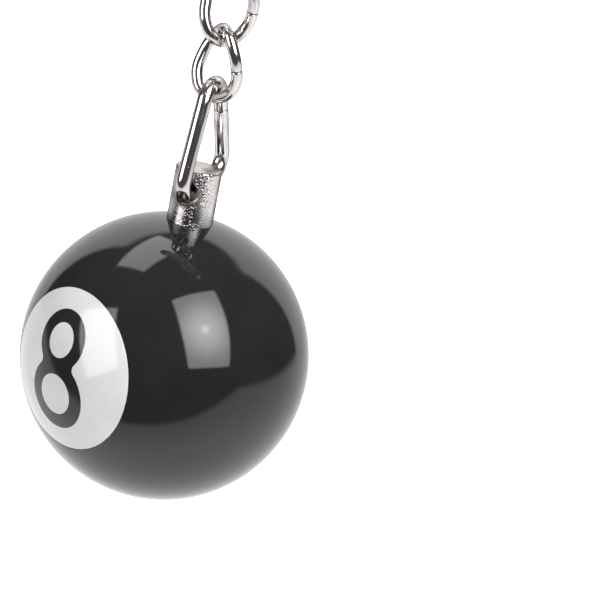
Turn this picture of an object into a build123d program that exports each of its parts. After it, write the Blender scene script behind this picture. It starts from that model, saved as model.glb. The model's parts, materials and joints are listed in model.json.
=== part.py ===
from build123d import *
import math
import os

# Eight-ball key charm: a small numbered ball on a peg, a triangular wire bail,
# a short curb chain and a split key ring. All sizes are in millimetres.
# +Z runs up the taut chain and the numbered disc faces -Y.
# The origin is the point inside the top of the split ring where a hook bears.

# Ball and its two number discs
BALL_RADIUS = 12.5
INSERT_RADIUS = 6.85
INSERT_FLOOR = 9.3  # distance from the ball's centre to the flat back of a disc
NUMERAL_FLOOR = 10.7  # distance from the ball's centre to the back of the numeral
CUT_MARGIN = 2.0  # how far a cutting tool runs past the face it cuts

# Numeral, seen from outside: (across, up) from the middle of the disc
UPPER_LOOP_CENTRE = (-0.10, 2.65)
UPPER_LOOP_RADIUS = 2.58
UPPER_EYE = (1.40, 1.48)
LOWER_LOOP_CENTRE = (0.17, -2.00)
LOWER_LOOP_RADIUS = 2.98
LOWER_EYE_RADIUS = 1.74
WAIST_FILLET = 0.6
NUMERAL_TILT = 2.0  # degrees, anticlockwise

# Peg
PEG_RADIUS = 2.0
PEG_SEAT = 12.2  # height of the spot face above the ball's centre
PEG_TOP = 17.16
PEG_CHAMFER = 0.18
PEG_HOLE_RADIUS = 1.0
PEG_HOLE_HEIGHT = 15.09
PEG_HOLE_CHAMFER = 0.15
PEG_FOOT_CHAMFER = 0.15
SHANK_CREST_RADIUS = 1.2
SHANK_ROOT_RADIUS = 1.0
SHANK_RIBS = 9
RIB_PITCH = 0.65
BORE_RADIUS = 1.25
BORE_END_GAP = 0.4

# Bail: a bent wire triangle, standing in the plane at BAIL_AZIMUTH
BAIL_WIRE_RADIUS = 0.65
BAIL_BASE = 9.4  # between the sharp corners of the triangle
BAIL_HEIGHT = 12.9  # to the sharp corner at its top
BAIL_BASE_BEND = 1.6
BAIL_TOP_BEND = 1.85
BAIL_JOINT_PLACE = 0.5  # where the wire's ends meet, from the top to the far corner
BAIL_AZIMUTH = 114.0
BAIL_LEAN = 8.0  # degrees off level, because the peg hangs beside the middle
BAIL_WIRE_LIFT = 0.05  # wire centre above the centre of the peg's hole
BUTT_GAP = 0.08

# Chain: twisted oval links, numbered from the ball upwards
LINK_COUNT = 4
LINK_WIRE_RADIUS = 0.5
LINK_HALF_WIDTH = 2.02  # at the shoulders, to the middle of the wire
LINK_END_HALF_WIDTH = 1.2  # at the foot and the head
LINK_HALF_HEIGHT = 2.95
LINK_SHOULDER = 0.33  # height of the shoulders, as a share of the half height
LINK_END_BEND = 1.6
LINK_SIDE_BEND = 2.6
LINK_TWIST = 68.0  # degrees, from the top of a link to its bottom
LINK_TURN = 42.0  # degrees, from each link to the one above it
FIRST_LINK_AZIMUTH = 40.0  # plane of the bottom of link 1
WIRE_CLEARANCE = 0.05  # between two wires that bear on each other

# Split ring: one flat strip wound twice
RING_OUTER_RADIUS = 15.0
RING_RADIAL = 2.0
RING_STRIP = 1.05
RING_LAYER_GAP = 0.1
RING_EDGE_FILLET = 0.3
RING_RAMP_ANGLE = 24.0
RING_RAMP_STEPS = 4
RING_RAMP_AT = 150.0  # degrees round the ring from its lowest point
RING_END_GAP = 1.5  # degrees between a strip end and the ramp
RING_LINK_LIFT = 0.68  # a rounded link rides above the flat strip by this

# Places that follow from the sizes above
RING_INNER_RADIUS = RING_OUTER_RADIUS - RING_RADIAL
TOP_WIRE_Z = -2 * RING_INNER_RADIUS + RING_LINK_LIFT + LINK_WIRE_RADIUS
LINK_PITCH = 2 * LINK_HALF_HEIGHT - 2 * LINK_WIRE_RADIUS - WIRE_CLEARANCE
CHAIN_BOTTOM_Z = TOP_WIRE_Z - (LINK_COUNT - 1) * LINK_PITCH - 2 * LINK_HALF_HEIGHT
BAIL_APEX_Z = CHAIN_BOTTOM_Z + LINK_WIRE_RADIUS + BAIL_WIRE_RADIUS + WIRE_CLEARANCE
BAIL_HALF_ANGLE = math.atan2(BAIL_BASE / 2, BAIL_HEIGHT)
BAIL_CROWN = BAIL_HEIGHT - BAIL_TOP_BEND * (1 / math.sin(BAIL_HALF_ANGLE) - 1)
BAIL_CROWN_CENTRE = BAIL_CROWN - BAIL_TOP_BEND
BAIL_SHIFT = BAIL_CROWN_CENTRE * math.tan(math.radians(BAIL_LEAN))
CROSSING_Z = BAIL_APEX_Z - BAIL_TOP_BEND - BAIL_CROWN_CENTRE / math.cos(math.radians(BAIL_LEAN))
BALL_CENTRE_Z = CROSSING_Z - BAIL_WIRE_LIFT - PEG_HOLE_HEIGHT
TOP_LINK_AZIMUTH = FIRST_LINK_AZIMUTH + (LINK_COUNT - 1) * LINK_TURN - LINK_TWIST
RING_AZIMUTH = TOP_LINK_AZIMUTH + 90.0


def heading(azimuth):
    """Level unit vector at an azimuth in degrees, measured from +X towards +Y."""
    turn = math.radians(azimuth)
    return Vector(math.cos(turn), math.sin(turn), 0)


def place(shape, side):
    """Move a shape made about the ball's centre into place, on the front or the back."""
    turned = shape if side == "front" else Rot(0, 0, 180) * shape
    return Pos(0, 0, BALL_CENTRE_Z) * turned


def numeral_outline():
    """The figure eight, drawn flat about the middle of its disc."""
    upper = Pos(*UPPER_LOOP_CENTRE) * Circle(UPPER_LOOP_RADIUS)
    lower = Pos(*LOWER_LOOP_CENTRE) * Circle(LOWER_LOOP_RADIUS)
    figure = upper + lower
    figure = fillet(figure.vertices(), WAIST_FILLET)
    figure -= Pos(*UPPER_LOOP_CENTRE) * Ellipse(*UPPER_EYE)
    figure -= Pos(*LOWER_LOOP_CENTRE) * Circle(LOWER_EYE_RADIUS)
    return Rot(0, 0, NUMERAL_TILT) * figure


def disc_plane(distance):
    """Plane across the -Y axis, this far from the ball's centre, facing outwards."""
    return Plane(origin=(0, -distance, 0), x_dir=(1, 0, 0), z_dir=(0, -1, 0))


def disc_blank():
    """Domed round plug that fills one number pocket."""
    plug = extrude(disc_plane(INSERT_FLOOR) * Circle(INSERT_RADIUS), amount=BALL_RADIUS)
    return plug & Sphere(BALL_RADIUS)


def numeral():
    """Domed figure eight, let into the disc down to its own flat floor."""
    figure = extrude(disc_plane(NUMERAL_FLOOR) * numeral_outline(), amount=BALL_RADIUS)
    return figure & Sphere(BALL_RADIUS)


def number_insert():
    """White disc with the pocket for its numeral."""
    return disc_blank() - numeral()


def ball_body():
    """Ball with two number pockets, a spot face and a blind bore for the peg."""
    body = Sphere(BALL_RADIUS)
    pocket = extrude(disc_plane(INSERT_FLOOR) * Circle(INSERT_RADIUS), amount=CUT_MARGIN + BALL_RADIUS)
    body -= pocket
    body -= Rot(0, 0, 180) * pocket
    body -= extrude(Plane.XY.offset(PEG_SEAT) * Circle(PEG_RADIUS), amount=CUT_MARGIN)
    bore_depth = SHANK_RIBS * RIB_PITCH + BORE_END_GAP
    body -= extrude(Plane.XY.offset(PEG_SEAT) * Circle(BORE_RADIUS), amount=-bore_depth)
    return body


def peg_profile():
    """Half outline of the peg: ribbed shank below, plain head above, on the XZ plane."""
    foot = PEG_SEAT - SHANK_RIBS * RIB_PITCH
    points = [(0, foot)]
    for rib in range(SHANK_RIBS):
        rib_foot = foot + rib * RIB_PITCH
        points.append((SHANK_ROOT_RADIUS, rib_foot))
        points.append((SHANK_CREST_RADIUS, rib_foot + RIB_PITCH / 2))
    points.append((SHANK_ROOT_RADIUS, PEG_SEAT))
    points.append((PEG_RADIUS - PEG_FOOT_CHAMFER, PEG_SEAT))
    points.append((PEG_RADIUS, PEG_SEAT + PEG_FOOT_CHAMFER))
    points.append((PEG_RADIUS, PEG_TOP - PEG_CHAMFER))
    points.append((PEG_RADIUS - PEG_CHAMFER, PEG_TOP))
    points.append((0, PEG_TOP))
    return make_face(Plane.XZ * Polyline(*points, close=True))


def hanger_peg():
    """Turned peg with a cross hole for the bail."""
    peg = revolve(peg_profile(), axis=Axis.Z)
    across = heading(BAIL_AZIMUTH)
    hole_plane = Plane(origin=(0, 0, PEG_HOLE_HEIGHT), z_dir=across)
    peg -= extrude(hole_plane * Circle(PEG_HOLE_RADIUS), amount=PEG_RADIUS + CUT_MARGIN, both=True)
    mouths = [edge for edge in peg.edges() if edge.geom_type == GeomType.BSPLINE]
    peg = chamfer(mouths, PEG_HOLE_CHAMFER)
    return peg


def bent_wire(points, bends, radius):
    """Round wire along straight runs joined by arcs, its two ends facing each other."""
    path = FilletPolyline(*points, radius=bends)
    section = Plane(origin=path @ 0, z_dir=path % 0) * Circle(radius)
    return sweep(section, path=path)


def bail():
    """Wire triangle through the peg's hole, its crown hooked in the first link."""
    lean = math.radians(BAIL_LEAN)
    level = heading(BAIL_AZIMUTH)
    along = level * math.cos(lean) + Vector(0, 0, math.sin(lean))
    upward = level * -math.sin(lean) + Vector(0, 0, math.cos(lean))
    base_middle = Vector(0, 0, CROSSING_Z) + along * BAIL_SHIFT
    near_corner = base_middle - along * (BAIL_BASE / 2)
    far_corner = base_middle + along * (BAIL_BASE / 2)
    apex = base_middle + upward * BAIL_HEIGHT
    leg = (far_corner - apex).normalized()
    joint = apex + (far_corner - apex) * BAIL_JOINT_PLACE
    first = joint - leg * (BUTT_GAP / 2)
    last = joint + leg * (BUTT_GAP / 2)
    bends = [BAIL_TOP_BEND, BAIL_BASE_BEND, BAIL_BASE_BEND]
    return bent_wire([first, apex, near_corner, far_corner, last], bends, BAIL_WIRE_RADIUS)


def link_bottom_azimuth(number):
    """Azimuth of the plane that holds the lower bend of a link."""
    return FIRST_LINK_AZIMUTH + (number - 1) * LINK_TURN


def link_centre_z(number):
    """Height of the middle of a link."""
    return TOP_WIRE_Z - (LINK_COUNT - number) * LINK_PITCH - LINK_HALF_HEIGHT


def link_point(number, side, level):
    """Corner of a link: side is 1 or -1, level runs from -1 at the foot to 1 at the head."""
    azimuth = link_bottom_azimuth(number) - LINK_TWIST * (1 + level) / 2
    height = link_centre_z(number) + level * LINK_HALF_HEIGHT
    reach = LINK_END_HALF_WIDTH if abs(level) == 1 else LINK_HALF_WIDTH
    return heading(azimuth) * (side * reach) + Vector(0, 0, height)


def chain_link(number):
    """One oval link, twisted about the chain's axis, butt jointed in the middle of one leg."""
    upper = link_point(number, 1, LINK_SHOULDER)
    lower = link_point(number, 1, -LINK_SHOULDER)
    half_gap = (upper - lower).normalized() * (BUTT_GAP / 2)
    joint = (upper + lower) * 0.5
    points = [joint + half_gap, upper, link_point(number, 1, 1)]
    points += [link_point(number, -1, level) for level in (1, LINK_SHOULDER, -LINK_SHOULDER, -1)]
    points += [link_point(number, 1, -1), lower, joint - half_gap]
    half_bends = [LINK_SIDE_BEND, LINK_END_BEND, LINK_END_BEND, LINK_SIDE_BEND]
    return bent_wire(points, half_bends + half_bends, LINK_WIRE_RADIUS)


def ring_section(angle, offset):
    """Strip section, turned round the ring's axis and moved along it."""
    section = RectangleRounded(RING_RADIAL, RING_STRIP, RING_EDGE_FILLET)
    radius = RING_OUTER_RADIUS - RING_RADIAL / 2
    return Rot(0, 0, angle) * Pos(radius, 0, offset) * Rot(90, 0, 0) * section


def key_ring():
    """Split ring: two flat layers joined by a ramp, standing in its own vertical plane."""
    offset = (RING_STRIP + RING_LAYER_GAP) / 2
    half_ramp = RING_RAMP_ANGLE / 2
    turn = 360 - RING_RAMP_ANGLE - RING_END_GAP
    lower = revolve(ring_section(half_ramp + RING_END_GAP, -offset), Axis.Z, revolution_arc=turn)
    upper = revolve(ring_section(half_ramp, offset), Axis.Z, revolution_arc=turn)
    ramp_sections = []
    for step in range(RING_RAMP_STEPS + 1):
        share = step / RING_RAMP_STEPS
        rise = -offset * math.cos(math.pi * share)
        ramp_sections.append(ring_section(RING_RAMP_ANGLE * share - half_ramp, rise))
    coil = lower + loft(ramp_sections) + upper
    ramp_turn = RING_RAMP_AT - 90  # the lowest point of the ring is at -90 degrees
    upright = Rot(0, 0, RING_AZIMUTH) * Rot(90, 0, 0) * Rot(0, 0, ramp_turn) * coil
    return Pos(0, 0, -RING_INNER_RADIUS) * upright


def build_parts():
    """Every sub-part of the charm, by node name."""
    nodes = {"ball_body": place(ball_body(), "front")}
    for side in ("front", "back"):
        nodes["number_insert_" + side] = place(number_insert(), side)
        nodes["numeral_" + side] = place(numeral(), side)
    nodes["hanger_peg"] = place(hanger_peg(), "front")
    nodes["bail"] = bail()
    for number in range(1, LINK_COUNT + 1):
        nodes["chain_link_" + str(number)] = chain_link(number)
    nodes["key_ring"] = key_ring()
    return nodes


os.makedirs("parts", exist_ok=True)
for node, shape in build_parts().items():
    export_step(shape, "parts/" + node + ".step")
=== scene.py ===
import json
import logging
import math
from collections.abc import Callable, Iterable
from dataclasses import dataclass
from enum import Enum
from functools import cache

import bmesh
import bpy
from bmesh.types import BMEdge, BMesh, BMVert
from mathutils import Matrix, Vector


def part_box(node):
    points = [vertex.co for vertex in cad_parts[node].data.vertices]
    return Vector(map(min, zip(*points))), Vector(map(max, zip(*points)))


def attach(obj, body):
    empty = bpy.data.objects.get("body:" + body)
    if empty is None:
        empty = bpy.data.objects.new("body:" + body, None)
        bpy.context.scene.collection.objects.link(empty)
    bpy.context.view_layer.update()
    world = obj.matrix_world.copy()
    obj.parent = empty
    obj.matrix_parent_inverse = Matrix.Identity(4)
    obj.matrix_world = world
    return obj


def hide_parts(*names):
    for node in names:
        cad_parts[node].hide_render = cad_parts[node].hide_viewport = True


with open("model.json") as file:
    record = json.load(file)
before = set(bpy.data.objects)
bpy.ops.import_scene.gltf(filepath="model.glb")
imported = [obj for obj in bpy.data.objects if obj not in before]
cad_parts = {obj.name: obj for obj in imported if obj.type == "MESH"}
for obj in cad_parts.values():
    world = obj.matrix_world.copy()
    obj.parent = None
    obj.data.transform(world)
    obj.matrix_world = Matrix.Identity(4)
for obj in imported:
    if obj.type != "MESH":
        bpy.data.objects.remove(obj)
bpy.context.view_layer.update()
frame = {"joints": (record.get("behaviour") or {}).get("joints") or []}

# Pieces are drawn in millimetres, in the CAD frame, and scaled to metres when they are finished.
# +Z runs up the taut chain, the front number disc faces -Y, and the origin is inside the top of the
# split ring.
MM = 0.001
TAU = math.tau
SHARP_ANGLE = 32.0  # degrees between faces, from which an edge is shaded sharp
WELD = 1e-5  # distance below which two points are one
CLOSING = 1e-3  # distance that an outline may leave between its two ends
UP = Vector((0, 0, 1))
log = logging.getLogger("charm")

Normal = Callable[[Vector, Vector], Vector | None]


class Side(Enum):
    """The two opposite faces of the ball that carry a number disc."""

    FRONT = 0
    BACK = 180

    @property
    def word(self) -> str:
        """The side's name as the CAD nodes spell it."""
        return self.name.lower()


class Cut(Enum):
    """How a tool shape is combined with a blank."""

    REMOVE = "DIFFERENCE"
    KEEP = "INTERSECT"


def heading(azimuth: float) -> Vector:
    """Level unit vector at an azimuth in degrees, measured from +X towards +Y."""
    return Vector((math.cos(math.radians(azimuth)), math.sin(math.radians(azimuth)), 0))


def aimed(azimuth: float, elevation: float, roll: float) -> tuple[Vector, Vector, Vector]:
    """Axes of something that stands round the object and faces it.

    Args:
        azimuth: Where it stands, in degrees, 0 at -Y and 90 at +X.
        elevation: How high it stands, in degrees above the level plane.
        roll: Its turn about its own facing axis, in degrees.

    Returns:
        Its right, its up, and the way out to it from the object.
    """
    rise, turn = math.radians(elevation), math.radians(roll)
    out = heading(azimuth - 90) * math.cos(rise) + UP * math.sin(rise)
    level = heading(azimuth)
    upright = out.cross(level)
    right = level * math.cos(turn) + upright * math.sin(turn)
    return right, upright * math.cos(turn) - level * math.sin(turn), out


def turned(angle: float, axis: str) -> Matrix:
    """Rotation matrix for an angle in degrees about a main axis."""
    return Matrix.Rotation(math.radians(angle), 4, axis)


def joint_place(name: str) -> Vector:
    """Place of a CAD joint, in millimetres."""
    found = next(joint for joint in frame["joints"] if joint["name"] == name)
    return Vector(found["pos_m"]) / MM


# ---------------------------------------------------------------- shader graphs


class Value:
    """A shader number. Arithmetic on it adds Math nodes to its graph."""

    def __init__(self, graph: "Graph", socket: bpy.types.NodeSocket) -> None:
        """Wrap a socket.

        Args:
            graph: The graph that the socket belongs to.
            socket: The output to carry on from.
        """
        self.graph = graph
        self.socket = socket

    def _join(self, operation: str, *terms: "Value | float") -> "Value":
        """Add one Math node over the given terms and return its result."""
        made = self.graph.node("ShaderNodeMath", {"operation": operation}, dict(enumerate(terms)))
        return Value(self.graph, made.outputs[0])

    def __add__(self, other: "Value | float") -> "Value":
        """Sum."""
        return self._join("ADD", self, other)

    def __radd__(self, other: float) -> "Value":
        """Sum, reflected."""
        return self._join("ADD", other, self)

    def __sub__(self, other: "Value | float") -> "Value":
        """Difference."""
        return self._join("SUBTRACT", self, other)

    def __rsub__(self, other: float) -> "Value":
        """Difference, reflected."""
        return self._join("SUBTRACT", other, self)

    def __mul__(self, other: "Value | float") -> "Value":
        """Product."""
        return self._join("MULTIPLY", self, other)

    def __rmul__(self, other: float) -> "Value":
        """Product, reflected."""
        return self._join("MULTIPLY", other, self)

    def __truediv__(self, other: "Value | float") -> "Value":
        """Quotient."""
        return self._join("DIVIDE", self, other)

    def __pow__(self, power: float) -> "Value":
        """Power."""
        return self._join("POWER", self, power)

    def __neg__(self) -> "Value":
        """Opposite."""
        return self._join("MULTIPLY", self, -1.0)

    def magnitude(self) -> "Value":
        """Size without sign."""
        return self._join("ABSOLUTE", self)

    def at_least(self, low: float) -> "Value":
        """The value, or a limit where that is larger."""
        return self._join("MAXIMUM", self, low)

    def sine(self) -> "Value":
        """Sine of the value in radians."""
        return self._join("SINE", self)

    def ramp(self, low: float, high: float, start: float = 0.0, end: float = 1.0) -> "Value":
        """Ease from start to end while the value goes from low to high.

        Args:
            low: Value where the ramp starts.
            high: Value where it ends.
            start: Result at and below low.
            end: Result at and above high.

        Returns:
            The eased value.
        """
        made = self.graph.node(
            "ShaderNodeMapRange",
            {"interpolation_type": "SMOOTHSTEP"},
            {0: self, 1: low, 2: high, 3: start, 4: end},
        )
        return Value(self.graph, made.outputs[0])


Source = Value | bpy.types.NodeSocket | float | tuple


class Graph:
    """The node tree of one material or world."""

    def __init__(self, tree: bpy.types.NodeTree) -> None:
        """Start from an empty tree."""
        self.tree = tree
        self.tree.nodes.clear()

    def node(
        self,
        kind: str,
        settings: dict[str, object] | None = None,
        inputs: dict[int | str, Source] | None = None,
    ) -> bpy.types.Node:
        """Add a node.

        Args:
            kind: The node's Blender type.
            settings: Its properties, or "stops" for the stops of a colour ramp.
            inputs: Values or links of its sockets, by name or number.

        Returns:
            The new node.
        """
        made = self.tree.nodes.new(kind)
        for name, setting in (settings or {}).items():
            if name == "stops":
                self._set_stops(made.color_ramp, setting)
            else:
                setattr(made, name, setting)
        for key, source in (inputs or {}).items():
            self.join(source, made.inputs[key])
        return made

    def join(self, source: Source, target: bpy.types.NodeSocket) -> None:
        """Link a source to a socket, or set the socket to a constant."""
        if isinstance(source, Value):
            self.tree.links.new(source.socket, target)
        elif isinstance(source, bpy.types.NodeSocket):
            self.tree.links.new(source, target)
        else:
            target.default_value = source

    def _set_stops(self, ramp: bpy.types.ColorRamp, stops: Iterable[tuple[float, tuple]]) -> None:
        """Give a colour ramp its stops."""
        for index, (place, colour) in enumerate(stops):
            stop = ramp.elements[index] if index < 2 else ramp.elements.new(place)
            stop.position = place
            stop.color = colour

    def object_place(self) -> bpy.types.NodeSocket:
        """Place on the object, in metres."""
        return self.node("ShaderNodeTexCoord").outputs["Object"]

    def grain_place(self) -> bpy.types.NodeSocket:
        """The wire's own place: round the wire in X and Y, and its length in Z, all in millimetres."""
        made = self.node("ShaderNodeAttribute", {"attribute_name": WireBender.GRAIN})
        return made.outputs["Vector"]

    def stretch(self, place: bpy.types.NodeSocket, scale: tuple[float, float, float]) -> bpy.types.NodeSocket:
        """A place scaled along each axis."""
        return self.node("ShaderNodeMapping", {}, {"Vector": place, "Scale": scale}).outputs[0]

    def noise(
        self, place: bpy.types.NodeSocket, scale: float, detail: float = 3.0, rough: float = 0.5
    ) -> Value:
        """Fractal noise from 0 to 1, centred on one half."""
        inputs = {"Vector": place, "Scale": scale, "Detail": detail, "Roughness": rough}
        return Value(self, self.node("ShaderNodeTexNoise", {}, inputs).outputs[0])

    def cells(self, place: bpy.types.NodeSocket, scale: float) -> Value:
        """Distance to the middle of the nearest cell of a random pattern."""
        made = self.node("ShaderNodeTexVoronoi", {}, {"Vector": place, "Scale": scale})
        return Value(self, made.outputs["Distance"])

    def split(self, place: bpy.types.NodeSocket) -> tuple[Value, Value, Value]:
        """The three parts of a place."""
        made = self.node("ShaderNodeSeparateXYZ", {}, {0: place})
        return tuple(Value(self, output) for output in made.outputs)

    def tint(self, share: Value, first: tuple, second: tuple) -> bpy.types.NodeSocket:
        """Run a colour ramp from one colour to another."""
        stops = ((0.0, opaque(first)), (1.0, opaque(second)))
        return self.node("ShaderNodeValToRGB", {"stops": stops}, {"Fac": share}).outputs["Color"]

    def blend(self, share: Value, first: Source, second: Source) -> bpy.types.NodeSocket:
        """Mix two colours."""
        made = self.node("ShaderNodeMix", {"data_type": "RGBA"}, {0: share, 6: first, 7: second})
        return made.outputs[2]

    def relief(self, height: Value) -> bpy.types.NodeSocket:
        """Bump from a height in millimetres."""
        return self.node("ShaderNodeBump", {}, {"Strength": 1.0, "Distance": MM, "Height": height}).outputs[0]


def opaque(colour: tuple[float, float, float]) -> tuple[float, float, float, float]:
    """A colour with full alpha."""
    return (*colour, 1.0)


def new_material(name: str) -> tuple[bpy.types.Material, Graph, bpy.types.Node]:
    """Start a material with a Principled shader.

    Args:
        name: The material's name.

    Returns:
        The material, its graph and its Principled node.
    """
    material = bpy.data.materials.new(name)
    material.use_nodes = True
    graph = Graph(material.node_tree)
    surface = graph.node("ShaderNodeBsdfPrincipled")
    output = graph.node("ShaderNodeOutputMaterial")
    graph.join(surface.outputs[0], output.inputs[0])
    return material, graph, surface


# ---------------------------------------------------------------- finishes


@dataclass(frozen=True)
class PolishedResin:
    """Cast resin, tumbled and polished until it is glossy."""

    slot: str
    colour: tuple[float, float, float]
    cloud_colour: tuple[float, float, float]
    refraction: float = 1.5
    roughness: float = 0.03
    smear: float = 0.05
    ripple: float = 0.0016
    cloud_scale: float = 260.0
    smear_scale: float = 420.0
    ripple_scale: float = 900.0
    scratch: float = 0.08
    scratch_depth: float = 0.0006

    SCRATCH_WAYS = ((90.0, 2600.0, 260.0), (1900.0, 150.0, 2100.0))

    def material(self) -> bpy.types.Material:
        """Make the finish: clouded pigment, polishing smears, faint ripple and hair scratches."""
        made, graph, surface = new_material(self.slot)
        place = graph.object_place()
        clouds = graph.noise(place, self.cloud_scale, 4.0).ramp(0.35, 0.65)
        graph.join(graph.tint(clouds, self.colour, self.cloud_colour), surface.inputs["Base Color"])
        smears = graph.noise(graph.stretch(place, (1.0, 1.0, 2.5)), self.smear_scale, 5.0, 0.6).ramp(0.5, 0.8)
        first, second = (graph.noise(graph.stretch(place, way), 1.0, 1.0) for way in self.SCRATCH_WAYS)
        scratches = first.ramp(0.735, 0.75) + second.ramp(0.735, 0.75)
        roughness = self.roughness + smears * self.smear + scratches * self.scratch
        graph.join(roughness, surface.inputs["Roughness"])
        ripple = graph.noise(place, self.ripple_scale, 2.0)
        height = ripple * self.ripple - scratches * self.scratch_depth
        graph.join(graph.relief(height), surface.inputs["Normal"])
        surface.inputs["IOR"].default_value = self.refraction
        return made


@dataclass(frozen=True)
class WirePlating:
    """Bright nickel plate over drawn wire, with drawing lines along the wire."""

    slot: str
    colour: tuple[float, float, float] = (0.68, 0.655, 0.645)
    tarnish: tuple[float, float, float] = (0.36, 0.30, 0.29)
    edge_tint: tuple[float, float, float] = (0.22, 0.20, 0.20)
    roughness: float = 0.12
    patch_roughness: float = 0.07
    pit_roughness: float = 0.2
    stain: float = 0.45
    patch_scale: float = 380.0
    pit_scale: float = 1500.0
    crowd_scale: float = 700.0
    line_scale: tuple[float, float, float] = (5.0, 5.0, 0.35)
    line_depth: float = 0.003
    pit_depth: float = 0.010

    def material(self) -> bpy.types.Material:
        """Make the finish: tarnish in patches, drawing lines and small plating pits."""
        made, graph, surface = new_material(self.slot)
        place = graph.object_place()
        patches = graph.noise(place, self.patch_scale, 4.0).ramp(0.5, 0.72)
        lines = graph.noise(graph.stretch(graph.grain_place(), self.line_scale), 1.0, 3.0)
        stains = (patches * self.stain + lines.ramp(0.50, 0.66) * self.stain).ramp(0.0, 2 * self.stain)
        graph.join(graph.tint(stains, self.colour, self.tarnish), surface.inputs["Base Color"])
        surface.inputs["Metallic"].default_value = 1.0
        surface.inputs["Specular Tint"].default_value = opaque(self.edge_tint)
        pits = graph.cells(place, self.pit_scale).ramp(0.12, 0.26, 1.0, 0.0)
        pits = pits * graph.noise(place, self.crowd_scale).ramp(0.52, 0.62)
        roughness = self.roughness + patches * self.patch_roughness + pits * self.pit_roughness
        graph.join(roughness, surface.inputs["Roughness"])
        height = lines * self.line_depth - pits * self.pit_depth
        graph.join(graph.relief(height), surface.inputs["Normal"])
        return made


@dataclass(frozen=True)
class TurnedPlating:
    """Nickel plate over a peg turned about the Z axis: lathe rings, a pitted side, a paler top and a painted
    highlight band down one side.
    """

    slot: str
    colour: tuple[float, float, float] = (0.52, 0.495, 0.485)
    tarnish: tuple[float, float, float] = (0.24, 0.205, 0.20)
    # Pale colour of the peg's top, also used for the painted highlight band on its side
    top_and_highlight_colour: tuple[float, float, float] = (0.88, 0.85, 0.84)
    pit_colour: tuple[float, float, float] = (0.035, 0.032, 0.032)
    edge_tint: tuple[float, float, float] = (0.45, 0.42, 0.41)
    roughness: float = 0.12
    patch_roughness: float = 0.08
    pit_roughness: float = 0.16
    patch_scale: float = 620.0
    crowd_scale: float = 760.0
    pit_scale: float = 3300.0
    crumb_scale: float = 4600.0
    ring_pitch: float = 0.11
    ring_depth: float = 0.004
    pit_depth: float = 0.04
    crumb_height: float = 0.045
    pitted_side: float = -42.0
    # Azimuth that the painted highlight band faces
    highlight_side: float = -3.0
    top_reach: float = 1.9
    top_blend: float = 0.1

    def material(self) -> bpy.types.Material:
        """Make the finish: rings round the axis, tarnish, a pitted side, a paler top and a painted highlight
        band down one side.
        """
        made, graph, surface = new_material(self.slot)
        place = graph.object_place()
        across, along, up = graph.split(place)
        reach = (across**2.0 + along**2.0) ** 0.5
        rings = ((reach + up) * (TAU / (self.ring_pitch * MM))).sine()
        on_side = (reach * (1 / MM)).ramp(self.top_reach - self.top_blend, self.top_reach)
        patches = graph.noise(place, self.patch_scale, 4.0).ramp(0.42, 0.66, 0.0, 0.85) * on_side
        worn = graph.noise(place, self.crowd_scale).ramp(0.36, 0.50) * on_side
        worn = worn * self._facing(across, along, reach, self.pitted_side).ramp(0.80, 0.97, 0.12, 1.0)
        pits = graph.cells(place, self.pit_scale).ramp(0.22, 0.46, 1.0, 0.0) * worn
        crumbs = graph.cells(place, self.crumb_scale).ramp(0.14, 0.42, 1.0, 0.0) * worn
        # Painted highlight: a pale band of base colour down the side facing azimuth -3, standing in for a
        # reflection
        painted_highlight = self._facing(across, along, reach, self.highlight_side).ramp(0.90, 0.98, 0.0, 0.9) * on_side
        plate = graph.tint(patches, self.colour, self.tarnish)
        # The top gets the pale colour, and the side band gets it as a painted highlight
        plate = graph.blend(1 - on_side + painted_highlight, plate, opaque(self.top_and_highlight_colour))
        graph.join(graph.blend(pits, plate, opaque(self.pit_colour)), surface.inputs["Base Color"])
        surface.inputs["Metallic"].default_value = 1.0
        surface.inputs["Specular Tint"].default_value = opaque(self.edge_tint)
        roughness = self.roughness + patches * self.patch_roughness + pits * self.pit_roughness
        graph.join(roughness, surface.inputs["Roughness"])
        height = rings * self.ring_depth - pits * self.pit_depth + crumbs * self.crumb_height
        graph.join(graph.relief(height), surface.inputs["Normal"])
        return made

    def _facing(self, across: Value, along: Value, reach: Value, azimuth: float) -> Value:
        """How far a place on the peg's side faces an azimuth, from -1 to 1."""
        way = heading(azimuth)
        return (across * way.x + along * way.y) / reach


Finish = PolishedResin | WirePlating | TurnedPlating


# ---------------------------------------------------------------- shaping tools


def round_edges(mesh: BMesh, edges: list[BMEdge], radius: float) -> None:
    """Round the given edges."""
    bmesh.ops.bevel(mesh, geom=edges, offset=radius, segments=3, profile=0.5, affect="EDGES", material=-1)


def move(mesh: BMesh, stance: Matrix) -> BMesh:
    """Move a whole shape and hand it back."""
    bmesh.ops.transform(mesh, matrix=stance, verts=mesh.verts)
    return mesh


def settle(mesh: BMesh, name: str) -> bpy.types.Mesh:
    """Turn a shape into mesh data and use it up."""
    data = bpy.data.meshes.new(name)
    mesh.to_mesh(data)
    mesh.free()
    return data


def add_object(name: str, data: bpy.types.Mesh | bpy.types.Camera) -> bpy.types.Object:
    """Add an object to the scene."""
    made = bpy.data.objects.new(name, data)
    bpy.context.scene.collection.objects.link(made)
    return made


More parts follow.
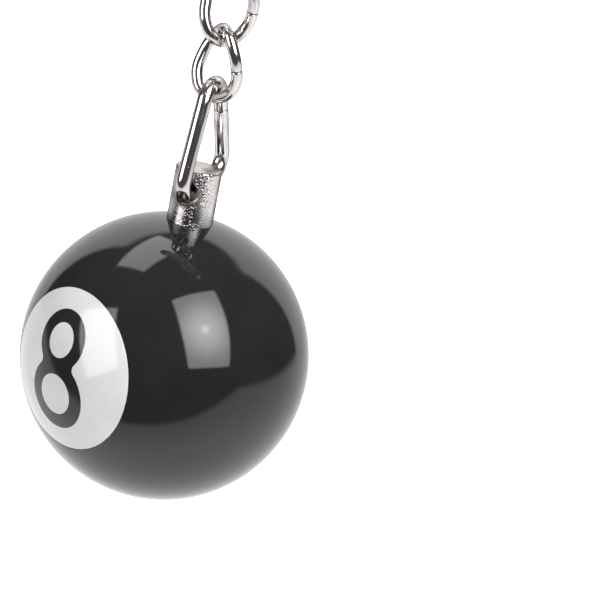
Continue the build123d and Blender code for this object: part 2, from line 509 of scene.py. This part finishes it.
class Pen:
    """Draws an outline of straight lines and arcs in the XY plane."""

    def __init__(self, across: float, up: float) -> None:
        """Set the pen down at a point."""
        self.mesh = bmesh.new()
        self.tip = self.mesh.verts.new((across, up, 0))

    def line(self, across: float, up: float) -> "Pen":
        """Draw straight to a point."""
        made = bmesh.ops.extrude_vert_indiv(self.mesh, verts=[self.tip])
        self.tip = made["verts"][0]
        self.tip.co = (across, up, 0)
        return self

    def arc(self, centre: tuple[float, float], angle: float, steps: int) -> "Pen":
        """Draw an arc.

        Args:
            centre: Centre of the arc.
            angle: Angle in degrees, anticlockwise.
            steps: Number of straight steps that stand for the arc.

        Returns:
            The pen.
        """
        sweep = math.radians(angle)
        made = bmesh.ops.spin(
            self.mesh, geom=[self.tip], cent=(*centre, 0), axis=UP, angle=sweep, steps=steps
        )
        self.tip = next(part for part in made["geom_last"] if isinstance(part, BMVert))
        return self

    def lathe(self, steps: int) -> BMesh:
        """Turn the outline a full turn about the Y axis and close its poles."""
        geometry = [*self.mesh.verts, *self.mesh.edges]
        bmesh.ops.spin(self.mesh, geom=geometry, axis=(0, 1, 0), angle=TAU, steps=steps, use_merge=True)
        bmesh.ops.remove_doubles(self.mesh, verts=self.mesh.verts, dist=WELD)
        bmesh.ops.recalc_face_normals(self.mesh, faces=self.mesh.faces)
        return self.mesh


class WireBender:
    """Feeds a round wire forward and bends it round pins."""

    GRAIN = "grain"
    SIDES = 40
    STEP = math.radians(5)
    END_ROUND = 0.06
    SHORTEST = 1e-4

    def __init__(self, corners: list[Vector], bends: list[float], radius: float) -> None:
        """Cut the wire's first end.

        Args:
            corners: Ends of the wire and the corners between its straight runs.
            bends: Radius of the bend at each inner corner.
            radius: Radius of the wire.
        """
        self.corners = corners
        self.bends = bends
        self.mesh = bmesh.new()
        self.grain = self.mesh.verts.layers.float_vector.new(self.GRAIN)
        self.fed = 0.0
        run = (corners[1] - corners[0]).normalized()
        stance = run.to_track_quat("Z", "Y").to_matrix().to_4x4()
        stance.translation = corners[0]
        made = bmesh.ops.create_circle(self.mesh, segments=self.SIDES, radius=radius, matrix=stance)
        for index, vert in enumerate(made["verts"]):
            angle = TAU * index / self.SIDES
            vert[self.grain] = (math.cos(angle), math.sin(angle), 0)
        self.rim = list(self.mesh.edges)
        self.place = corners[0].copy()

    def form(self) -> BMesh:
        """Feed and bend the whole wire.

        Returns:
            The wire, closed and rounded at both ends.
        """
        ends = [self.rim]
        for index, bend in enumerate(self.bends):
            before, corner, after = self.corners[index : index + 3]
            run = (corner - before).normalized()
            way_out = (after - corner).normalized()
            turn = run.angle(way_out)
            reach = bend * math.tan(turn / 2)
            self._feed(corner - run * reach)
            inward = (way_out - run * way_out.dot(run)).normalized()
            self._bend(self.place + inward * bend, run.cross(way_out).normalized(), turn, bend)
        self._feed(self.corners[-1])
        ends.append(self.rim)
        self._close(ends)
        return self.mesh

    def _take(self, geometry: Iterable[object]) -> list[BMVert]:
        """Make the newest ring of edges the wire's rim."""
        verts = [part for part in geometry if isinstance(part, BMVert)]
        edges = (part for part in geometry if isinstance(part, BMEdge))
        self.rim = [edge for edge in edges if set(edge.verts) <= set(verts)]
        return verts

    def _mark(self, verts: Iterable[BMVert]) -> None:
        """Write how much wire has been fed on the newest ring."""
        for vert in verts:
            around = vert[self.grain]
            vert[self.grain] = (around[0], around[1], self.fed)

    def _feed(self, target: Vector) -> None:
        """Feed straight to a point."""
        step = target - self.place
        if step.length < self.SHORTEST:
            return
        made = bmesh.ops.extrude_edge_only(self.mesh, edges=self.rim)
        verts = self._take(made["geom"])
        bmesh.ops.translate(self.mesh, verts=verts, vec=step)
        self.fed += step.length
        self._mark(verts)
        self.place = target.copy()

    def _bend(self, pin: Vector, axis: Vector, turn: float, bend: float) -> None:
        """Bend round a pin in small equal steps."""
        steps = max(2, math.ceil(turn / self.STEP))
        for _ in range(steps):
            geometry = [*{vert for edge in self.rim for vert in edge.verts}, *self.rim]
            made = bmesh.ops.spin(self.mesh, geom=geometry, cent=pin, axis=axis, angle=turn / steps, steps=1)
            verts = self._take(made["geom_last"])
            self.fed += bend * turn / steps
            self._mark(verts)
        self.place = pin + Matrix.Rotation(turn, 3, axis) @ (self.place - pin)

    def _close(self, ends: list[list[BMEdge]]) -> None:
        """Cap both ends of the wire and break their sharp edges."""
        for rim in ends:
            bmesh.ops.contextual_create(self.mesh, geom=rim)
        bmesh.ops.recalc_face_normals(self.mesh, faces=self.mesh.faces)
        round_edges(self.mesh, [edge for rim in ends for edge in rim], self.END_ROUND)


def combine(blank: BMesh, tool: BMesh, cut: Cut) -> BMesh:
    """Cut a blank with a tool shape.

    Args:
        blank: The shape to cut. It is used up.
        tool: The shape to cut with. It is used up.
        cut: Whether the tool's volume is removed or is all that is kept.

    Returns:
        The cut shape.
    """
    workpieces = []
    for name, mesh in (("blank", blank), ("tool", tool)):
        workpieces.append(add_object(name, settle(mesh, name)))
    body, cutter = workpieces
    modifier = body.modifiers.new("cut", "BOOLEAN")
    modifier.operation = cut.value
    modifier.solver = "EXACT"
    modifier.object = cutter
    evaluated = body.evaluated_get(bpy.context.evaluated_depsgraph_get())
    result = bmesh.new()
    result.from_mesh(evaluated.to_mesh())
    evaluated.to_mesh_clear()
    for workpiece in workpieces:
        data = workpiece.data
        bpy.data.objects.remove(workpiece)
        bpy.data.meshes.remove(data)
    bmesh.ops.remove_doubles(result, verts=result.verts, dist=WELD)
    return result


def finish_piece(
    mesh: BMesh,
    node: str,
    body: str,
    finish: Finish,
    normal: Normal | None = None,
) -> bpy.types.Object:
    """Turn a shape into a finished piece that stands for a CAD node.

    Args:
        mesh: The shape, in millimetres in the CAD frame. It is used up.
        node: The CAD node that it stands for.
        body: The CAD body that it rides on.
        finish: The piece's finish, whose material is made when it is first used.
        normal: Gives the true surface normal from a corner's place and its face's normal, or None.

    Returns:
        The piece.
    """
    data = settle(move(mesh, Matrix.Scale(MM, 4)), node)
    data.polygons.foreach_set("use_smooth", [True] * len(data.polygons))
    data.set_sharp_from_angle(angle=math.radians(SHARP_ANGLE))
    if normal is not None:
        data.normals_split_custom_set(corner_normals(data, normal))
    data.materials.append(material_of(finish))
    piece = add_object(node + ".finished", data)
    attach(piece, body)
    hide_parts(node)
    log.info("%s: %d faces, rides on %s", piece.name, len(data.polygons), body)
    return piece


@cache
def material_of(finish: Finish) -> bpy.types.Material:
    """The finish's material, made once for all its pieces."""
    return finish.material()


def corner_normals(data: bpy.types.Mesh, normal: Normal) -> list[Vector]:
    """Normals of every face corner of a mesh, zero where the automatic one is kept."""
    found = []
    for polygon in data.polygons:
        for index in polygon.vertices:
            true_normal = normal(data.vertices[index].co / MM, polygon.normal)
            found.append(true_normal or Vector((0, 0, 0)))
    return found


# ---------------------------------------------------------------- sub-assemblies


@dataclass
class NumberedBall:
    """The ball, its two white discs and their inlaid numerals."""

    resin: PolishedResin
    disc_resin: PolishedResin
    numeral_resin: PolishedResin
    insert_radius: float = 6.85
    insert_floor: float = 9.3
    numeral_floor: float = 10.7
    rim_break: float = 0.04
    upper_loop: tuple[float, float] = (-0.10, 2.65)
    upper_radius: float = 2.58
    upper_eye: tuple[float, float] = (1.40, 1.48)
    lower_loop: tuple[float, float] = (0.17, -2.00)
    lower_radius: float = 2.98
    lower_eye: float = 1.74
    waist_fillet: float = 0.6
    numeral_tilt: float = 2.0
    seat: float = 12.2
    seat_radius: float = 2.0
    bore_radius: float = 1.25
    bore_foot: float = 5.95
    dome_margin: float = 0.004
    dome_share: float = 0.97

    def __post_init__(self) -> None:
        """Read the ball's place and size from the frame."""
        low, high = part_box("ball_body")
        self.radius = (high.x - low.x) / 2 / MM
        self.centre = Vector((0, 0, low.z / MM + self.radius))

    def build(self) -> None:
        """Make the ball, both discs and both numerals."""
        self._ball()
        for side in Side:
            disc = combine(self._disc_blank(), self._numeral_prism(), Cut.REMOVE)
            self._place(disc, side, "number_insert_" + side.word, self.disc_resin)
            numeral = combine(self._disc_blank(), self._numeral_prism(), Cut.KEEP)
            self._place(numeral, side, "numeral_" + side.word, self.numeral_resin)

    def _dome_normal(self, place: Vector, face: Vector) -> Vector | None:
        """Normal of the ball's sphere, or None off the sphere."""
        out = place - self.centre
        way = out.normalized()
        on_sphere = abs(out.length - self.radius) < self.dome_margin and face.dot(way) > self.dome_share
        return way if on_sphere else None

    def _place(self, mesh: BMesh, side: Side, node: str, finish: PolishedResin) -> None:
        """Turn a piece drawn about +Z to its side of the ball and finish it."""
        stance = Matrix.Translation(self.centre) @ turned(side.value, "Z") @ turned(90, "X")
        finish_piece(move(mesh, stance), node, "ball", finish, self._dome_normal)

    def _rim_height(self, across: float) -> float:
        """Height of the sphere above its centre plane at a distance from the axis."""
        return math.sqrt(self.radius**2 - across**2)

    def _ball(self) -> None:
        """Black body with two number pockets, a spot face and a bore."""
        pocket = self.insert_radius
        lip = pocket + self.rim_break
        wall_top = self._rim_height(pocket) - self.rim_break
        edge = self._rim_height(lip)
        sweep = 2 * math.degrees(math.atan2(edge, lip))
        pen = Pen(0, -self.insert_floor).line(pocket, -self.insert_floor).line(pocket, -wall_top)
        pen.line(lip, -edge).arc((0, 0), sweep, 112)
        pen.line(pocket, wall_top).line(pocket, self.insert_floor).line(0, self.insert_floor)
        body = pen.lathe(224)
        clear = self.radius + 1
        drill = Pen(0, self.bore_foot).line(self.bore_radius, self.bore_foot)
        drill.line(self.bore_radius, self.seat).line(self.seat_radius, self.seat)
        drill.line(self.seat_radius, clear).line(0, clear)
        body = combine(body, move(drill.lathe(96), turned(90, "X")), Cut.REMOVE)
        body = move(body, Matrix.Translation(self.centre))
        finish_piece(body, "ball_body", "ball", self.resin, self._dome_normal)

    def _disc_blank(self) -> BMesh:
        """Domed plug, drawn about +Z."""
        inner = self.insert_radius - self.rim_break
        edge = self._rim_height(inner)
        shoulder = self._rim_height(self.insert_radius) - self.rim_break
        pen = Pen(0, self.insert_floor).line(self.insert_radius, self.insert_floor)
        pen.line(self.insert_radius, shoulder).line(inner, edge)
        sweep = 90 - math.degrees(math.atan2(edge, inner))
        return move(pen.arc((0, 0), sweep, 40).lathe(192), turned(90, "X"))

    def _numeral_prism(self) -> BMesh:
        """Upright prism of the figure eight, drawn flat and pushed out through the dome."""
        pen = self._eight_outline()
        for centre, half_axes in (
            (self.upper_loop, self.upper_eye),
            (self.lower_loop, (self.lower_eye, self.lower_eye)),
        ):
            stance = Matrix.Translation((*centre, 0)) @ Matrix.Diagonal((*half_axes, 1, 1))
            bmesh.ops.create_circle(pen.mesh, segments=72, radius=1, matrix=stance)
        mesh = pen.mesh
        bmesh.ops.triangle_fill(mesh, use_beauty=True, edges=mesh.edges)
        made = bmesh.ops.extrude_face_region(mesh, geom=list(mesh.faces))
        top = [part for part in made["geom"] if isinstance(part, BMVert)]
        bmesh.ops.translate(mesh, verts=top, vec=(0, 0, self.radius))
        bmesh.ops.recalc_face_normals(mesh, faces=mesh.faces)
        stance = turned(self.numeral_tilt, "Z") @ Matrix.Translation((0, 0, self.numeral_floor))
        return move(mesh, stance)

    def _eight_outline(self) -> Pen:
        """Outline of the figure eight: two round loops joined by a filleted waist."""
        upper, lower = Vector(self.upper_loop), Vector(self.lower_loop)
        near, far = self.upper_radius + self.waist_fillet, self.lower_radius + self.waist_fillet
        spine = lower - upper
        down = spine.normalized()
        right = Vector((-down.y, down.x))
        run = (near**2 - far**2 + spine.length**2) / (2 * spine.length)
        reach = math.sqrt(near**2 - run**2)
        right_pin = upper + down * run + right * reach
        left_pin = upper + down * run - right * reach
        start = upper + (right_pin - upper).normalized() * self.upper_radius
        over = 360 - 2 * math.degrees(math.atan2(reach, run))
        under = 360 - 2 * math.degrees(math.atan2(reach, spine.length - run))
        notch = 180 - (360 - over) / 2 - (360 - under) / 2
        pen = Pen(*start)
        pen.arc(tuple(upper), over, 72).arc(tuple(left_pin), -notch, 10)
        pen.arc(tuple(lower), under, 84).arc(tuple(right_pin), -notch, 10)
        bmesh.ops.remove_doubles(pen.mesh, verts=pen.mesh.verts, dist=CLOSING)
        return pen


@dataclass
class HangerPeg:
    """Turned and plated peg, cross drilled for the bail."""

    finish: TurnedPlating
    centre: Vector
    azimuth: float = 114.0
    radius: float = 2.0
    seat: float = 12.2
    top: float = 17.16
    foot_chamfer: float = 0.15
    top_round: float = 0.18
    hole_radius: float = 1.0
    hole_height: float = 15.09
    mouth_round: float = 0.5
    mouth_depth: float = 0.45
    mouth_sweep: float = 65.0
    root_radius: float = 1.0
    crest_radius: float = 1.2
    ribs: int = 9
    rib_pitch: float = 0.65
    side_rows: int = 11
    side_margin: float = 0.003
    side_share: float = 0.995

    def build(self) -> None:
        """Make the peg and its cross hole."""
        stance = Matrix.Translation(UP * self.hole_height) @ turned(self.azimuth - 90, "Z")
        peg = combine(self._blank(), move(self._drill(), stance), Cut.REMOVE)
        peg = move(peg, Matrix.Translation(self.centre))
        finish_piece(peg, "hanger_peg", "ball", self.finish, self._side_normal)

    def _blank(self) -> BMesh:
        """Ribbed shank and plain head, turned about Z."""
        foot = self.seat - self.ribs * self.rib_pitch
        pen = Pen(0, foot)
        for rib in range(self.ribs):
            pen.line(self.root_radius, foot + rib * self.rib_pitch)
            pen.line(self.crest_radius, foot + (rib + 0.5) * self.rib_pitch)
        pen.line(self.root_radius, self.seat).line(self.radius - self.foot_chamfer, self.seat)
        pen.line(self.radius, self.seat + self.foot_chamfer)
        side = self.top - self.top_round - self.seat - self.foot_chamfer
        for row in range(1, self.side_rows + 1):
            pen.line(self.radius, self.seat + self.foot_chamfer + side * row / self.side_rows)
        pen.arc((self.radius - self.top_round, self.top - self.top_round), 90, 6)
        return move(pen.line(0, self.top).lathe(128), turned(90, "X"))

    def _drill(self) -> BMesh:
        """Cross drill that also rounds both mouths of its hole, drawn about Y."""
        far = self.radius + 1
        wall = self.radius - self.mouth_depth
        pin = self.hole_radius + self.mouth_round
        sweep = math.radians(self.mouth_sweep)
        mouth = pin - self.mouth_round * math.cos(sweep)
        lip = wall + self.mouth_round * math.sin(sweep)
        pen = Pen(0, -far).line(mouth, -far).line(mouth, -lip).arc((pin, -wall), -self.mouth_sweep, 8)
        pen.line(self.hole_radius, wall).arc((pin, wall), -self.mouth_sweep, 8)
        return pen.line(mouth, far).line(0, far).lathe(80)

    def _side_normal(self, place: Vector, face: Vector) -> Vector | None:
        """Normal of the peg's round side, or None elsewhere."""
        out = Vector((place.x, place.y, 0))
        way = out.normalized()
        on_side = abs(out.length - self.radius) < self.side_margin and face.dot(way) > self.side_share
        return way if on_side else None


@dataclass
class TriangleBail:
    """Wire triangle that joins the peg to the chain."""

    finish: WirePlating
    wire_radius: float = 0.65
    base: float = 9.4
    height: float = 12.9
    base_bend: float = 1.6
    top_bend: float = 1.85
    azimuth: float = 114.0
    lean: float = 8.0
    link_wire_radius: float = 0.5
    clearance: float = 0.05
    butt_gap: float = 0.08

    def build(self) -> None:
        """Bend the triangle."""
        half_angle = math.atan2(self.base / 2, self.height)
        crown_centre = self.height - self.top_bend / math.sin(half_angle)
        lean = math.radians(self.lean)
        apex_z = joint_place("bail_on_link_1").z + self.link_wire_radius + self.wire_radius + self.clearance
        crossing = UP * (apex_z - self.top_bend - crown_centre / math.cos(lean))
        level = heading(self.azimuth)
        along = level * math.cos(lean) + UP * math.sin(lean)
        upward = level * -math.sin(lean) + UP * math.cos(lean)
        middle = crossing + along * (crown_centre * math.tan(lean))
        near_corner = middle - along * (self.base / 2)
        far_corner = middle + along * (self.base / 2)
        apex = middle + upward * self.height
        leg = (far_corner - apex).normalized()
        joint = (apex + far_corner) / 2
        first, last = joint - leg * (self.butt_gap / 2), joint + leg * (self.butt_gap / 2)
        bends = [self.top_bend, self.base_bend, self.base_bend]
        wire = WireBender([first, apex, near_corner, far_corner, last], bends, self.wire_radius).form()
        finish_piece(wire, "bail", "bail", self.finish)


@dataclass
class CurbChain:
    """Four oval links, each twisted about the chain's axis."""

    finish: WirePlating
    links: int = 4
    wire_radius: float = 0.5
    half_width: float = 2.02
    end_half_width: float = 1.2
    half_height: float = 2.95
    shoulder: float = 0.33
    end_bend: float = 1.6
    side_bend: float = 2.6
    twist: float = 68.0
    turn: float = 42.0
    first_azimuth: float = 40.0
    butt_gap: float = 0.08

    def build(self) -> None:
        """Bend every link."""
        for number in range(1, self.links + 1):
            name = f"chain_link_{number}"
            finish_piece(self._link(number, name), name, name, self.finish)

    def _link(self, number: int, node: str) -> BMesh:
        """Bend one link about the middle of its CAD node."""
        low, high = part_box(node)
        middle = (low.z + high.z) / 2 / MM
        upper = self._point(number, middle, 1, self.shoulder)
        lower = self._point(number, middle, 1, -self.shoulder)
        half_gap = (upper - lower).normalized() * (self.butt_gap / 2)
        joint = (upper + lower) / 2
        corners = [joint + half_gap, upper, self._point(number, middle, 1, 1)]
        far_side = (1, self.shoulder, -self.shoulder, -1)
        corners += [self._point(number, middle, -1, level) for level in far_side]
        corners += [self._point(number, middle, 1, -1), lower, joint - half_gap]
        half_bends = [self.side_bend, self.end_bend, self.end_bend, self.side_bend]
        return WireBender(corners, half_bends * 2, self.wire_radius).form()

    def _point(self, number: int, middle: float, side: int, level: float) -> Vector:
        """Corner of a link: side is 1 or -1, level runs from -1 at the foot to 1 at the head."""
        azimuth = self.first_azimuth + (number - 1) * self.turn - self.twist * (1 + level) / 2
        reach = self.end_half_width if abs(level) == 1 else self.half_width
        return heading(azimuth) * (side * reach) + UP * (middle + level * self.half_height)


@dataclass
class SplitRing:
    """Two turns of flat strip joined by a ramp."""

    finish: WirePlating
    azimuth: float = 188.0
    outer_radius: float = 15.0
    radial: float = 2.0
    strip: float = 1.05
    layer_gap: float = 0.1
    edge_round: float = 0.3
    ramp_angle: float = 24.0
    ramp_at: float = 150.0
    end_gap: float = 1.5
    end_round: float = 0.1
    ramp_steps: int = 16
    turn_steps: int = 180

    def build(self) -> None:
        """Wind the strip and stand the ring up."""
        mesh = bmesh.new()
        offset = (self.strip + self.layer_gap) / 2
        turn = 360 - self.ramp_angle - self.end_gap
        stance = turned(self.ramp_angle / 2 + self.end_gap, "Z")
        stance @= Matrix.Translation((self.outer_radius - self.radial / 2, 0, -offset)) @ turned(90, "X")
        size = Matrix.Diagonal((self.radial / 2, self.strip / 2, 1, 1))
        square = bmesh.ops.create_circle(mesh, segments=4, radius=math.sqrt(2), matrix=turned(45, "Z"))
        bmesh.ops.transform(mesh, matrix=stance @ size, verts=square["verts"])
        corners = {"geom": list(mesh.verts), "offset": self.edge_round, "affect": "VERTICES"}
        bmesh.ops.bevel(mesh, segments=5, profile=0.5, material=-1, **corners)
        first = list(mesh.edges)
        rim = self._spin(mesh, first, turn, self.turn_steps, 0)
        for step in range(self.ramp_steps):
            share, following = step / self.ramp_steps, (step + 1) / self.ramp_steps
            rise = offset * (math.cos(math.pi * share) - math.cos(math.pi * following))
            rim = self._spin(mesh, rim, self.ramp_angle / self.ramp_steps, 1, rise)
        last = self._spin(mesh, rim, turn, self.turn_steps, 0)
        for end in (first, last):
            bmesh.ops.contextual_create(mesh, geom=end)
        bmesh.ops.recalc_face_normals(mesh, faces=mesh.faces)
        round_edges(mesh, first + last, self.end_round)
        upright = Matrix.Translation((0, 0, -self.outer_radius + self.radial)) @ turned(self.azimuth, "Z")
        upright @= turned(90, "X") @ turned(self.ramp_at - 90, "Z")
        finish_piece(move(mesh, upright), "key_ring", "key_ring", self.finish)

    def _spin(self, mesh: BMesh, rim: list[BMEdge], angle: float, steps: int, rise: float) -> list[BMEdge]:
        """Wind a rim on about the ring's axis and return the new rim."""
        geometry = [*{vert for edge in rim for vert in edge.verts}, *rim]
        sweep = math.radians(angle)
        made = bmesh.ops.spin(mesh, geom=geometry, axis=UP, dvec=UP * rise, angle=sweep, steps=steps)
        return [part for part in made["geom_last"] if isinstance(part, BMEdge)]


# ---------------------------------------------------------------- studio


@dataclass(frozen=True)
class Panel:
    """A soft light panel, seen from the object as a rectangle in a direction."""

    azimuth: float
    elevation: float
    width: float
    height: float
    radiance: float
    core: float = 0.0
    lamp: float = 0.0
    lamp_reach: float = 0.09
    roll: float = 0.0
    edge: float = 0.03


@dataclass
class Studio:
    """White backdrop behind the object, dark room before it, and soft light panels."""

    target: Vector
    azimuth: float = 42.0
    elevation: float = 17.7
    roll: float = 11.3
    distance: float = 250.0
    aside: float = 11.70
    below: float = 4.78
    lens: float = 173.6
    backdrop_half_width: float = 48.0
    backdrop_top: float = 47.0
    backdrop_radiance: float = 1.0
    backdrop_glow: float = 0.45
    table_edge_radiance: float = 0.85
    table_radiance: float = 1.3
    table_edge_azimuth: float = 20.0
    table_edge_slope: float = 0.84
    room_radiance: float = 0.07
    ceiling_radiance: float = 0.16
    horizon_blend: float = 0.12
    floor_drop: float = 70.0
    floor_half_width: float = 6000.0
    floor_albedo: float = 0.9

    PANELS = (
        Panel(81.2, 41.0, 37.5, 57.0, 4.0, core=6.4, lamp=5.0, roll=-1.5),
        Panel(-13.0, 12.0, 31.0, 46.0, 4.0, roll=-34.0),
        Panel(-90.0, 63.0, 34.0, 22.0, 3.1, roll=0.0),
    )

    def build(self) -> None:
        """Make the camera, the world and the floor."""
        self._camera()
        self._world()
        self._floor()
        bpy.context.scene.view_settings.view_transform = "Standard"

    def _camera(self) -> None:
        """Aim the camera so that the ball sits low and left of the picture's middle."""
        right, up, back = aimed(self.azimuth, self.elevation, self.roll)
        data = bpy.data.cameras.new("camera")
        data.lens = self.lens
        data.clip_start = 0.01
        data.clip_end = 20.0
        camera = add_object("camera", data)
        bpy.context.scene.camera = camera
        place = self.target + back * self.distance + right * self.aside + up * self.below
        stance = Matrix((right, up, back)).transposed().to_4x4()
        stance.translation = place * MM
        camera.matrix_world = stance

    def _world(self) -> None:
        """Light the object with a dark room, a white backdrop and the panels."""
        world = bpy.data.worlds.new("studio")
        world.use_nodes = True
        bpy.context.scene.world = world
        graph = Graph(world.node_tree)
        direction = graph.node("ShaderNodeTexCoord").outputs["Generated"]
        light = self._sweep(graph, direction) + self._room(graph, direction)
        for panel in self.PANELS:
            light = light + self._panel(graph, direction, panel)
        is_camera = Value(graph, graph.node("ShaderNodeLightPath").outputs["Is Camera Ray"])
        strength = light * (1 - is_camera) + is_camera
        background = graph.node("ShaderNodeBackground", {}, {"Color": (1, 1, 1, 1), "Strength": strength})
        output = graph.node("ShaderNodeOutputWorld")
        graph.join(background.outputs[0], output.inputs[0])

    def _facing(self, graph: Graph, direction: bpy.types.NodeSocket, way: Vector) -> Value:
        """Share of a direction that points along a unit vector."""
        made = graph.node("ShaderNodeVectorMath", {"operation": "DOT_PRODUCT"}, {0: direction, 1: tuple(way)})
        return Value(graph, made.outputs["Value"])

    def _room(self, graph: Graph, direction: bpy.types.NodeSocket) -> Value:
        """Dim room, a little paler towards its ceiling."""
        rise = self._facing(graph, direction, UP)
        return rise.ramp(0.0, 0.9, self.room_radiance, self.ceiling_radiance)

    def _sweep(self, graph: Graph, direction: bpy.types.NodeSocket) -> Value:
        """White sweep: a backdrop behind the object and a table top under it."""
        depth = self._facing(graph, direction, heading(self.azimuth + 90))
        aside = self._facing(graph, direction, heading(self.azimuth)).magnitude()
        rise = self._facing(graph, direction, UP)
        flare = math.tan(math.radians(self.backdrop_half_width))
        backdrop = (depth * flare - aside).ramp(-0.05, 0.10)
        top = math.sin(math.radians(self.backdrop_top))
        above = rise.ramp(-self.horizon_blend, 0.0)
        backdrop = backdrop * rise.ramp(top - 0.06, top + 0.04, 1.0, 0.0) * above
        glow = rise.ramp(0.0, top, self.backdrop_radiance, self.backdrop_radiance + self.backdrop_glow)
        to_edge = self._facing(graph, direction, heading(self.table_edge_azimuth - 90)).at_least(0.0)
        past_edge = -rise - to_edge * self.table_edge_slope
        paleness = past_edge.ramp(0.0, 0.7, self.table_edge_radiance, self.table_radiance)
        table = past_edge.ramp(-0.06, 0.10) * paleness * (1 - above)
        return backdrop * glow + table

    def _panel(self, graph: Graph, direction: bpy.types.NodeSocket, panel: Panel) -> Value:
        """One panel's light, brighter towards its lamp in the middle."""
        right, up, way = aimed(panel.azimuth, panel.elevation, -panel.roll)
        depth = self._facing(graph, direction, way)
        across = self._facing(graph, direction, right) / depth
        rise = self._facing(graph, direction, up) / depth
        half_width = math.tan(math.radians(panel.width / 2))
        half_height = math.tan(math.radians(panel.height / 2))
        mask = across.magnitude().ramp(half_width - panel.edge, half_width + panel.edge, 1.0, 0.0)
        mask = mask * rise.magnitude().ramp(half_height - panel.edge, half_height + panel.edge, 1.0, 0.0)
        mask = mask * depth.ramp(0.0, 0.1)
        if not panel.core:
            return mask * panel.radiance
        reach = (across * across + rise * rise) ** 0.5
        glow = reach.ramp(0.0, half_height, panel.core, 0.0)
        glow = glow + reach.ramp(0.0, panel.lamp_reach, panel.lamp, 0.0)
        return mask * (glow + panel.radiance)

    def _floor(self) -> None:
        """Pale floor below the charm, which is seen but neither lights nor shades the object."""
        mesh = bmesh.new()
        stance = Matrix.Translation((0, 0, self.target.z - self.floor_drop))
        bmesh.ops.create_grid(mesh, x_segments=8, y_segments=8, size=self.floor_half_width, matrix=stance)
        data = settle(move(mesh, Matrix.Scale(MM, 4)), "floor")
        material, _, surface = new_material("pale_floor")
        surface.inputs["Base Color"].default_value = opaque((self.floor_albedo,) * 3)
        surface.inputs["Roughness"].default_value = 0.9
        surface.inputs["Emission Color"].default_value = opaque((1, 1, 1))
        surface.inputs["Emission Strength"].default_value = 1.0
        data.materials.append(material)
        floor = add_object("floor", data)
        floor.visible_glossy = False
        floor.visible_diffuse = False
        floor.visible_shadow = False


def main() -> None:
    """Build the charm and its studio."""
    logging.basicConfig(level=logging.INFO, format="%(name)s: %(message)s")
    black = PolishedResin("black_resin", (0.0130, 0.0130, 0.0140), (0.0155, 0.0155, 0.0165))
    white = PolishedResin("white_resin", (0.61, 0.61, 0.61), (0.65, 0.65, 0.65), roughness=0.05)
    ink = PolishedResin("numeral_resin", (0.015, 0.015, 0.017), (0.019, 0.019, 0.021))
    ball = NumberedBall(black, white, ink)
    Studio(ball.centre).build()
    ball.build()
    HangerPeg(TurnedPlating("plated_peg"), ball.centre).build()
    wire = WirePlating("plated_wire")
    TriangleBail(wire).build()
    CurbChain(wire).build()
    SplitRing(WirePlating("plated_strip", line_depth=0.004)).build()


if __name__ == "__main__":
    main()
